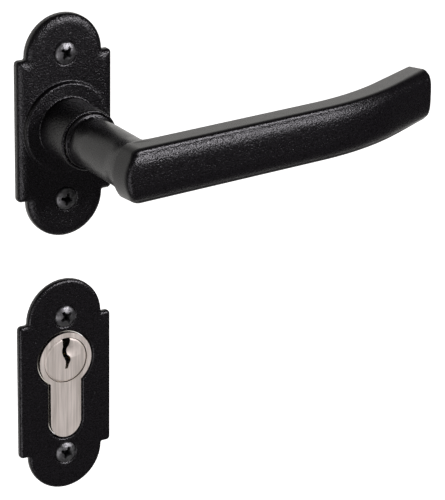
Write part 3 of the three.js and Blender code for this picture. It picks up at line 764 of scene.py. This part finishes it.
leverCasting = castFrom("lever_casting", leverField, (-9.2, -53.4, -8.8),
                        (112.4, 0, 8.8), lever["step"])
leverPoints = pointsOf(leverCasting)
_, outwards = alongArm(leverPoints[:, 0], leverPoints[:, 1])
onFront = smoothStep(outwards, lever["halfThickness"] - 0.6, lever["halfThickness"] + 0.3)
finishCasting(leverCasting, onFront, "lever", ["lever_handle"])
print("castings: made")


# ---- repeated pieces

def newGroup(name, inputs):
    tree = bpy.data.node_groups.new(name, "GeometryNodeTree")
    for socket, kind in inputs.items():
        tree.interface.new_socket(socket, in_out="INPUT", socket_type="NodeSocket" + kind)
    tree.interface.new_socket("Geometry", in_out="OUTPUT", socket_type="NodeSocketGeometry")
    return tree, addNode(tree, "NodeGroupInput").outputs


def finishGroup(tree, shape, material):
    real = addNode(tree, "GeometryNodeRealizeInstances", {0: shape}).outputs[0]
    finished = addNode(tree, "GeometryNodeSetMaterial", {"Geometry": real, "Material": material}).outputs[0]
    addNode(tree, "NodeGroupOutput", {0: finished})
    return tree


# Copies of one object at a mesh's points, each turned by the point's "turn".
def copiesTree():
    tree, given = newGroup("placed copies", {"Places": "Geometry", "Piece": "Object", "Finish": "Material"})
    turn = addNode(tree, "GeometryNodeInputNamedAttribute", {"Name": "turn"}, data_type="FLOAT").outputs[0]
    rotation = addNode(tree, "ShaderNodeCombineXYZ", {"Y": turn}).outputs[0]
    piece = addNode(tree, "GeometryNodeObjectInfo", {"Object": given["Piece"]}).outputs["Geometry"]
    places = addNode(tree, "GeometryNodeMeshToPoints", {"Mesh": given["Places"]}).outputs[0]
    copies = addNode(tree, "GeometryNodeInstanceOnPoints",
                     {"Points": places, "Instance": piece, "Rotation": rotation}).outputs[0]
    return finishGroup(tree, copies, given["Finish"])


# A round wire along a curve, with closed ends.
def wireTree():
    tree, given = newGroup("round wire", {"Path": "Geometry", "Radius": "Float", "Sides": "Int",
                                          "Finish": "Material"})
    section = addNode(tree, "GeometryNodeCurvePrimitiveCircle",
                      {"Resolution": given["Sides"], "Radius": given["Radius"]}).outputs[0]
    wire = addNode(tree, "GeometryNodeCurveToMesh",
                   {"Curve": given["Path"], "Profile Curve": section, "Fill Caps": True}).outputs[0]
    return finishGroup(tree, wire, given["Finish"])


placedCopies = copiesTree()
roundWire = wireTree()


def grow(made, tree, inputs):
    modifier = made.modifiers.new("grown", "NODES")
    modifier.node_group = tree
    for item in tree.interface.items_tree:
        if item.name in inputs:
            modifier[item.identifier] = inputs[item.name]
    grown = linked(made.name + "_grown", evaluatedMesh(made))
    bpy.data.objects.remove(made)
    return grown


def copiesOf(name, master, places, material, turns=0):
    spots = objectFrom(name + "_places", places, [])
    setAttribute(spots, "turn", turns)
    made = grow(spots, placedCopies, {"Piece": master, "Finish": material})
    made.name = name
    bpy.data.objects.remove(master)
    return made


def wireAlong(name, path, radius, material, sides=16):
    data = bpy.data.curves.new(name, "CURVE")
    data.dimensions = "3D"
    spline = data.splines.new("POLY")
    spline.points.add(len(path) - 1)
    for point, place in zip(spline.points, path):
        point.co = (*place, 1)
    made = grow(linked(name + "_path", data), roundWire,
                {"Radius": radius, "Sides": sides, "Finish": material})
    made.name = name
    return faceOutwards(made)


# ---- screws

screw = {
    "lean": (-0.2, 0.2),  # how far off its hole's middle each screw sits
    "head": 3.3, "dome": 0.8, "domeSteps": 12, "proud": 0.45, "rim": 0.2,
    "shank": 1.9, "core": 1.5, "plain": 5, "point": 8.6, "length": 12,
    "recess": 2.1, "recessFoot": 1.15, "wing": 0.5, "wingFoot": 0.32, "recessDepth": 1.7,
    "hub": 1.1, "hubFoot": 0.55,
}
screwThread = {"from": 5.6, "to": 11.2, "pitch": 1.4, "depth": 0.4, "crest": 0.22, "step": 0.14}


# Two crossed tapering wings and the hub between them.
def crossRecess(top):
    s = screw
    foot = top + s["recessDepth"]
    share = (s["recess"] - s["recessFoot"]) / s["recessDepth"]

    def wing(turn):
        def outline(grown):
            half = s["wing"] + (s["wing"] - s["wingFoot"]) / s["recessDepth"] * grown
            reach = s["recess"] + share * grown
            return [(-reach, -half), (reach, -half), (reach, half), (-reach, half)]
        return move(extruded("wing", outline, [(top - 1, 1), (foot, -s["recessDepth"])]), turn=turn)

    hub = turned("hub", [(0, top - 1), (s["hub"], top - 1), (s["hub"], top + 0.2), (s["hubFoot"], foot),
                         (0, foot + 0.35)], 24)
    tool = combine(wing(0), wing(90), "UNION")
    return combine(tool, hub, "UNION")


def makeScrews(name, thickness, middle, turns, replaces):
    s = screw
    seat = -thickness
    edge = s["head"] - s["rim"]
    top = seat - s["proud"] - s["dome"]
    sphere = (edge ** 2 + s["dome"] ** 2) / (2 * s["dome"])
    profileLine = [(0, top)]
    for i in range(1, s["domeSteps"] + 1):
        radius = edge * i / s["domeSteps"]
        profileLine.append((radius, top + sphere - math.sqrt(sphere ** 2 - radius ** 2)))
    neck = seat + s["head"] - s["shank"]
    shoulder = seat - s["proud"] + s["rim"]
    profileLine += [(s["head"] - 0.04, shoulder), (s["head"], shoulder + s["rim"]), (s["head"], seat + 0.15),
                    (s["shank"] + s["rim"], neck), (s["shank"], neck + 0.4),
                    (s["shank"], s["plain"], 0.2), (s["core"], s["plain"] + 0.5), (s["core"], s["point"]),
                    (0.25, s["length"] - 0.2), (0, s["length"])]
    master = turned("screw", profileLine, 48, screwThread)
    master = combine(master, crossRecess(top))
    master = easeEdges(master, 0.07, 2, 32)
    spots = pointsOf(master)
    radii = np.hypot(spots[:, 0], spots[:, 2])
    depth = spots[:, 1] - top - sphere + np.sqrt(sphere ** 2 - np.minimum(radii, edge) ** 2)
    inRecess = (radii < s["recess"] + 0.15) & (spots[:, 1] < top + s["recessDepth"] + 0.5)
    # painted shade: the recess turns near black with depth below the dome, in place of the shade that falls
    # inside it
    setAttribute(master, "pooled", inRecess * smoothStep(depth, 0.05, 0.35))
    places = [(s["lean"][0], 0, middle + side * plate["screwHeight"] + s["lean"][1]) for side in (1, -1)]
    made = copiesOf(name, master, places, screwSteel, np.radians(turns))
    finishPiece(made, screwSteel, "fixed_set", replaces, 50)


makeScrews("lever_plate_screws", leverPlate["thickness"], 0, (38, 12),
           ["lever_plate_screw_top", "lever_plate_screw_bottom"])
makeScrews("escutcheon_screws", escutcheon["thickness"], escutcheon["height"], (57, 24),
           ["escutcheon_screw_top", "escutcheon_screw_bottom"])
print("screws: made")


# ---- lock cylinder

lock = {
    "face": -2, "back": 18.5, "bridgeFront": 12.5, "bridgeTop": -15.15, "ease": 0.08,
    "plugBore": 6.62, "flangeBore": 6.98, "flangeBack": -0.45,
    "fixing": 2.1, "fixingHeight": -20, "chamber": 1.5, "chamberLow": -26, "chamberHigh": -5.5,
    "firstPin": 1.8, "pinSpacing": 3.8, "pins": 3,
}
plug = {
    "flange": 6.9, "flangeBack": -0.6, "rim": 0.5, "rimDepth": 0.3, "body": 6.5, "bodyBack": 12.35,
    "tail": 4.4, "tailEnd": 18.1, "groove": 3.8, "grooveFrom": 16.75, "grooveTo": 17.55,
    "flat": 3.3, "flatEnd": 16.65, "chamberLow": -7.5, "chamberHigh": -1.1,
    "keywayDepth": 13, "guide": 2.5, "guideDepth": 0.55, "guideAcross": 1.2, "guideUp": 2.8,
}
pinPlaces = [lock["firstPin"] + i * lock["pinSpacing"] for i in range(lock["pins"])]
lockShift = (0, 0, keyHeight)


# The cylinder's profile: a round head with a round-ended leg under it.
def cylinderOutline(grown):
    head, leg = profile["head"] + grown, profile["leg"] + grown
    shoulder = math.asin(leg / head)
    arcs = [(0, 0, head, shoulder - math.pi / 2, 1.5 * math.pi - shoulder, 96),
            (0, profile["legCentre"], leg, math.pi, 2 * math.pi, 40)]
    points = []
    for x, z, radius, start, end, steps in arcs:
        for angle in np.linspace(start, end, steps + 1):
            points.append((x + radius * math.cos(angle), z + radius * math.sin(angle)))
    return points


def bar(radius, front, back, sides=64):
    return turned("bar", discProfile(radius, front, back), sides)


def cutChambers(made, s):
    for y in pinPlaces:
        chamber = move(bar(lock["chamber"], s["chamberLow"], s["chamberHigh"], 32), turn=90, axis="X")
        combine(made, move(chamber, (0, y, 0)))


# Flat front faces are brushed; sides and bores stay as the cutter left them.
def finishNickel(made, body, replaces):
    move(made, lockShift)
    count = len(made.data.polygons)
    middles, normals = np.zeros(count * 3), np.zeros(count * 3)
    made.data.polygons.foreach_get("center", middles)
    made.data.polygons.foreach_get("normal", normals)
    brushed = (normals[1::3] < -0.6) & (middles[1::3] < lock["face"] + 1)
    made.data.polygons.foreach_set("material_index", np.where(brushed, 0, 1).astype(np.int32))
    finishPiece(made, [satinNickel, mirrorNickel], body, replaces, 30)


def makeCylinder():
    s = lock
    levels = [(s["face"], -s["ease"]), (s["face"] + s["ease"], 0), (s["back"] - s["ease"], 0),
              (s["back"], -s["ease"])]
    made = extruded("lock_cylinder", cylinderOutline, levels)
    side = profile["head"] + 1
    ease = 0.05
    combine(made, turned("bore", [(0, s["face"] - 1), (s["flangeBore"] + 1 + ease, s["face"] - 1),
                                  (s["flangeBore"], s["face"] + ease), (s["flangeBore"], s["flangeBack"]),
                                  (s["plugBore"], s["flangeBack"]), (s["plugBore"], s["bridgeFront"] + 1),
                                  (0, s["bridgeFront"] + 1)], 128))
    combine(made, block("space", (-side, s["bridgeFront"], s["bridgeTop"]), (side, s["back"] + 1, side)))
    fixing = move(bar(s["fixing"], -side, side, 48), turn=90, axis="Z")
    combine(made, move(fixing, (0, (s["bridgeFront"] + s["back"]) / 2, s["fixingHeight"])))
    cutChambers(made, s)
    finishNickel(made, "fixed_set", ["cylinder_body"])


# The keyway's zigzag: (middle, height, half width) of each bend, open at the plug's top.
keyway = [(0.15, 7.3, 1.3), (0.15, 6.0, 1.25), (0.1, 4.5, 1.05), (-0.4, 3.4, 0.85), (-0.4, 2.6, 0.8),
          (-0.15, 1.5, 0.8), (0.5, 0.75, 1.0), (0.75, -0.35, 0.78), (0.45, -1.5, 0.52), (0.15, -2.7, 0.45)]


def keywayOutline(grown):
    left = [(middle - half - grown, height) for middle, height, half in keyway]
    right = [(middle + half + grown, height) for middle, height, half in keyway]
    corners = [(x, z, 0.08) for x, z in left + right[::-1]]
    return roundedOutline(corners, 3)


def makePlug():
    s = plug
    face = lock["face"]
    outline = [
        (0, face), (s["flange"] - s["rim"] - 0.3, face), (s["flange"] - s["rim"], face, 0.1),
        (s["flange"] - 0.1, face + s["rimDepth"], 0.12), (s["flange"], face + s["rimDepth"] + 0.25, 0.1),
        (s["flange"], s["flangeBack"], 0.08), (s["body"], s["flangeBack"]),
        (s["body"], s["bodyBack"], 0.2), (s["tail"], s["bodyBack"]),
        (s["tail"], s["grooveFrom"]), (s["groove"], s["grooveFrom"]), (s["groove"], s["grooveTo"]),
        (s["tail"], s["grooveTo"]), (s["tail"], s["tailEnd"], 0.25), (0, s["tailEnd"]),
    ]
    made = turned("lock_plug", outline, 160)
    combine(made, extruded("keyway", keywayOutline, [(face - 1, 0), (face + s["keywayDepth"], 0)]))
    slope = s["guide"] / s["guideDepth"]
    guide = turned("guide", [(0, face - 1), (s["guide"] + slope, face - 1), (s["guide"], face),
                             (0.35 * s["guide"], face + 0.85 * s["guideDepth"], 0.6),
                             (0, face + s["guideDepth"])], 96)
    combine(made, move(guide, (s["guideAcross"], 0, s["guideUp"])))
    combine(made, block("flat", (-s["tail"], s["bodyBack"], s["flat"]),
                        (s["tail"], s["flatEnd"], s["tail"] + 1)))
    cutChambers(made, s)
    finishNickel(made, "plug", ["cylinder_plug"])


cam = {"radius": 6.2, "front": 12.65, "back": 16.65, "bore": 4.5, "flat": 3.4, "half": 2.5,
       "reach": 15, "corner": 1.5, "turn": -30}


def makeCam():
    s = cam
    made = turned("lock_cam", discProfile(s["radius"], s["front"], s["back"], 0.3))
    corners = [(-s["half"], 0, 0), (-s["half"], -s["reach"], s["corner"]),
               (s["half"], -s["reach"], s["corner"]), (s["half"], 0, 0)]
    tab = extruded("tab", roundedOutline(corners, 6), [(s["front"], 0), (s["back"], 0)])
    combine(made, move(tab, turn=s["turn"]), "UNION")
    bore = bar(s["bore"], s["front"] - 1, s["back"] + 1)
    combine(bore, block("above", (-6, s["front"] - 2, s["flat"]), (6, s["back"] + 2, 7)))
    combine(made, bore)
    easeEdges(made, 0.15, 2, 50)
    move(made, lockShift)
    finishPiece(made, camSteel, "plug", ["cylinder_cam"], 35)


clip = {"width": 1.6, "opening": math.radians(32), "eye": 1.15, "eyeHole": 0.5}
plugGroove = {"inner": 3.9, "front": 16.8, "back": 17.5}
neckGroove = {"inner": 6.3, "front": -1.9, "back": -1.2}


# An open spring ring with an eye at each end, its gap towards +X.
def openRing(name, inner, front, back):
    s = clip
    outer = inner + s["width"]
    half = outer * math.tan(s["opening"] / 2)
    made = turned(name, ringProfile(inner, outer, front, back, 0.08))
    combine(made, block("gap", (0, front - 1, -half), (outer + 2, back + 1, half)))
    middle = inner + s["eye"]
    for side in (-1, 1):
        angle = side * (s["opening"] / 2 + s["eye"] / middle)
        place = (middle * math.cos(angle), 0, middle * math.sin(angle))
        combine(made, move(bar(s["eye"], front, back, 40), place), "UNION")
        combine(made, move(bar(s["eyeHole"], front - 1, back + 1, 24), place))
    return made


makeCylinder()
makePlug()
makeCam()
plugRing = move(move(openRing("plug_ring", **plugGroove), turn=90), lockShift)
finishPiece(plugRing, wireSteel, "plug", ["plug_circlip"], 35)
print("lock cylinder: made")


# ---- pins

pin = {"radius": 1.4, "tip": 0.4, "tipLength": 0.7, "shear": -6.25, "driverTop": -6.67, "driverLength": 5.5,
       "waistDepth": 0.3,
       "keyLengths": (3.4, 4.6, 4), "capRadius": 1.45, "capTop": -21.3, "capFoot": -24.0,
       "springWire": 0.18, "springRadius": 1.2, "springTurns": 9, "springSteps": 14,
       "springTop": -12.55, "springFoot": -20.9}


def standing(name, outline, sides=32):
    return move(turned(name, outline, sides), turn=90, axis="X")


def numbered(node):
    return ["%s_%d" % (node, i + 1) for i in range(lock["pins"])]


def makePins():
    s = pin
    places = [(0, y, keyHeight) for y in pinPlaces]
    keyPins = None
    for (x, y, z), length in zip(places, s["keyLengths"]):
        top = s["shear"] + length
        made = standing("key_pins", [(0, s["shear"]), (s["radius"], s["shear"], 0.1),
                                     (s["radius"], top - s["tipLength"], 0.15),
                                     (s["tip"], top, 0.1), (0, top)])
        move(made, (x, y, z))
        keyPins = combine(keyPins, made, "UNION") if keyPins else made
    finishPiece(keyPins, pinBrass, "plug", numbered("key_pin"), 35)

    top = s["driverTop"]
    foot = top - s["driverLength"]
    waist = s["radius"] - s["waistDepth"]
    driver = standing("driver", [(0, foot), (s["radius"], foot, 0.15), (s["radius"], foot + 1.4, 0.1),
                                 (waist, foot + 1.8, 0.1), (waist, top - 1.8, 0.1),
                                 (s["radius"], top - 1.4, 0.1), (s["radius"], top, 0.15), (0, top)])
    drivers = copiesOf("driver_pins", driver, places, zincSteel)
    finishPiece(drivers, zincSteel, "fixed_set", numbered("driver_pin"), 35)

    cap = standing("cap", [(0, s["capFoot"]), (s["capRadius"], s["capFoot"], 0.25),
                           (s["capRadius"], s["capTop"], 0.15), (0, s["capTop"])])
    caps = copiesOf("chamber_plugs", cap, places, pinBrass)
    finishPiece(caps, pinBrass, "fixed_set", numbered("chamber_plug"), 35)

    path = []
    count = s["springTurns"] * s["springSteps"]
    for i in range(count + 1):
        angle = 2 * math.pi * i / s["springSteps"]
        height = s["springTop"] + (s["springFoot"] - s["springTop"]) * i / count
        path.append((s["springRadius"] * math.cos(angle), s["springRadius"] * math.sin(angle), height))
    coil = wireAlong("coil", path, s["springWire"], wireSteel, 8)
    coils = copiesOf("pin_springs", coil, places, wireSteel)
    finishPiece(coils, wireSteel, "fixed_set", numbered("pin_spring"), 50)


makePins()


# ---- spindle and its fittings

spindle = {"half": 4, "from": -30, "to": 20, "chamfer": 0.5}


def makeSpindle():
    s = spindle

    def square(grown):
        half = s["half"] + grown
        corners = [(-half, -half, 0.5), (half, -half, 0.5), (half, half, 0.5), (-half, half, 0.5)]
        return roundedOutline(corners, 4)

    made = extruded("spindle_bar", square, [(s["from"], -s["chamfer"]), (s["from"] + s["chamfer"], 0),
                                            (s["to"] - s["chamfer"], 0), (s["to"], -s["chamfer"])])
    finishPiece(made, zincSteel, "lever", ["square_spindle"], 35)


makeSpindle()

grub = {"core": 2.15, "foot": -7.15, "top": -4.15, "place": -26, "socket": 1.3, "socketDepth": 1.6,
        "cup": 0.5}
grubThread = {"from": -7.0, "to": -4.55, "pitch": 0.8, "depth": 0.34, "crest": 0.4, "step": 0.1}


# The grub screw that holds the spindle, with its socket underneath and a cup point on top.
def makeGrubScrew():
    s = grub
    made = turned("grub_screw", [
        (0, s["foot"]), (s["core"] - 0.25, s["foot"]), (s["core"], s["foot"] + 0.15),
        (s["core"], s["top"] - 0.5), (s["core"] - 0.45, s["top"]), (s["core"] - 0.9, s["top"]),
        (0, s["top"] - s["cup"])], 48, grubThread)
    turns = [i * math.pi / 3 for i in range(6)]
    hexagon = [(s["socket"] * math.cos(turn), s["socket"] * math.sin(turn)) for turn in turns]
    levels = [(s["foot"] - 1, 0), (s["foot"] + s["socketDepth"], 0)]
    combine(made, extruded("socket", hexagon, levels))
    move(move(made, turn=90, axis="X"), (0, s["place"], 0))
    finishPiece(made, screwSteel, "lever", ["spindle_grub_screw"], 40)


makeGrubScrew()


# ---- the lever's spring, driver, ring and bush

driver = {"radius": 9.1, "front": -2.85, "back": -2.05, "bore": 6.9, "flat": 6.1, "notchHalf": 0.75,
          "notchFrom": -7.95, "ease": 0.1}
spring = {"wire": 0.4, "coil": 10.3, "inner": -8.3, "elbow": -9.9, "turns": 2.5, "steps": 24, "rise": 1.9,
          "y": -2.45, "outerElbow": 10.7, "outer": 11.9, "bend": 0.5, "stillFrom": -1.1, "turnsFrom": -1.9}
bush = {"inner": 6.92, "outer": 7.82, "front": -15.65, "back": -3}


def makeSpringDriver():
    s = driver
    made = turned("spring_driver_disc", discProfile(s["radius"], s["front"], s["back"], s["ease"]), 128)
    bore = bar(s["bore"], s["front"] - 1, s["back"] + 1, 96)
    for side in (-1, 1):
        edges = sorted((side * s["flat"], side * (s["bore"] + 1)))
        combine(bore, block("flat", (edges[0], s["front"] - 2, -8), (edges[1], s["back"] + 2, 8)))
    combine(made, bore)
    combine(made, block("notch", (-s["notchHalf"], s["front"] - 1, -s["radius"] - 1),
                        (s["notchHalf"], s["back"] + 1, s["notchFrom"])))
    easeEdges(made, 0.06, 1, 50)
    finishPiece(made, zincSteel, "lever", ["spring_driver"], 35)


# A coil about Y, with one leg turned in to the driver's notch and one turned out to the plate.
def makeReturnSpring():
    s = spring
    path = [(0, s["y"], s["inner"]), (0, s["y"], s["elbow"] + s["bend"])]
    count = int(s["turns"] * s["steps"])
    for i in range(1, count):
        angle = 2 * math.pi * i / s["steps"] - math.pi / 2
        y = s["y"] + s["rise"] * (i - 1) / (count - 2)
        path.append((s["coil"] * math.cos(angle), y, s["coil"] * math.sin(angle)))
    back = s["y"] + s["rise"]
    path += [(0, back, s["outerElbow"]), (0, back, s["outer"])]
    made = wireAlong("return_spring_wire", path, s["wire"], wireSteel, 12)
    winding = {"from": "fixed_set", "to": "lever", "start": (0, s["stillFrom"] * millimetre, 0),
               "end": (0, s["turnsFrom"] * millimetre, 0)}
    finishPiece(made, wireSteel, winding, ["return_spring"], 50)


def makeRetainingRing():
    made = move(openRing("retaining_ring_clip", **neckGroove), turn=180)
    finishPiece(made, wireSteel, "lever", ["retaining_ring"], 35)


def makeBush():
    s = bush
    made = turned("neck_bush_sleeve", ringProfile(s["inner"], s["outer"], s["front"], s["back"], 0.2), 128)
    finishPiece(made, bushNylon, "fixed_set", ["neck_bush"], 40)


makeSpringDriver()
makeReturnSpring()
makeRetainingRing()
makeBush()
print("fittings: made")


print("done")
